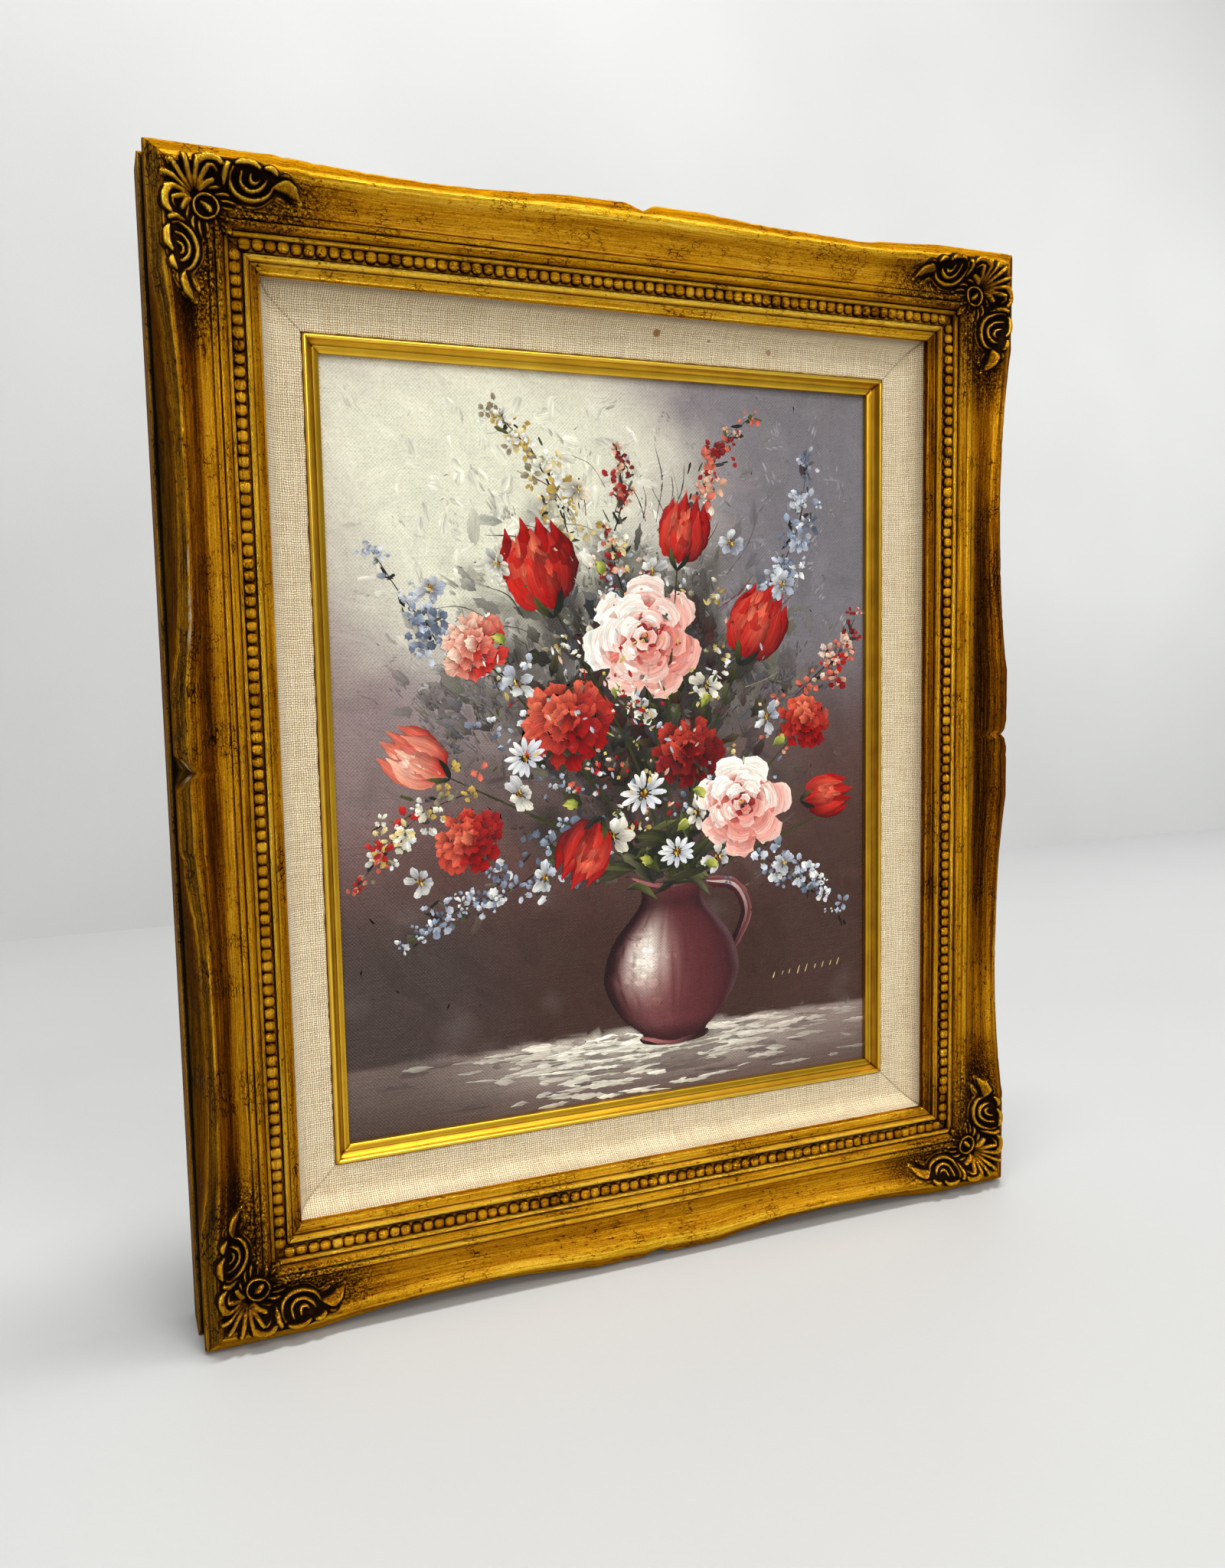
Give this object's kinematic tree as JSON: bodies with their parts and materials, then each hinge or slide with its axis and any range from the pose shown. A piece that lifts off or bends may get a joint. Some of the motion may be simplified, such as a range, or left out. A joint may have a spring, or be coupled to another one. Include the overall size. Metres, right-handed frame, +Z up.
{
  "type": "framed floral oil painting",
  "caption": "Upright still life of flowers on a canvas panel, in a gilded swept frame with a beaded reed, leafy cast corners, a linen liner and a thin gold fillet.",
  "frame": {"origin": "on the flat back of the frame's top rail, at its middle, where the frame lies against the wall", "axes": "-Y is where the picture faces, +Z is up, +X is to the viewer's right; the wall is at y = 0"},
  "size_m": [0.2874, 0.0334, 0.337],
  "materials": {
    "antique_gold": "antiqued gold leaf and brown wash on carved wood, satin",
    "cast_gold": "antiqued gold on pressed composition ornament, satin",
    "fillet_gold": "satin gold on a thin wood slip",
    "linen": "matt natural linen over a wood liner",
    "painted_canvas": "oil paint on a canvas-faced board, satin"
  },
  "bodies": {
    "root": {"canvas_panel": "painted_canvas", "frame_rail_top": "antique_gold", "frame_rail_right": "antique_gold", "frame_rail_bottom": "antique_gold", "frame_rail_left": "antique_gold", "corner_ornament_top_left": "cast_gold", "corner_ornament_top_right": "cast_gold", "corner_ornament_bottom_left": "cast_gold", "corner_ornament_bottom_right": "cast_gold", "linen_liner_top": "linen", "linen_liner_right": "linen", "linen_liner_bottom": "linen", "linen_liner_left": "linen", "gold_fillet_top": "fillet_gold", "gold_fillet_right": "fillet_gold", "gold_fillet_bottom": "fillet_gold", "gold_fillet_left": "fillet_gold"}
  },
  "joints": []
}
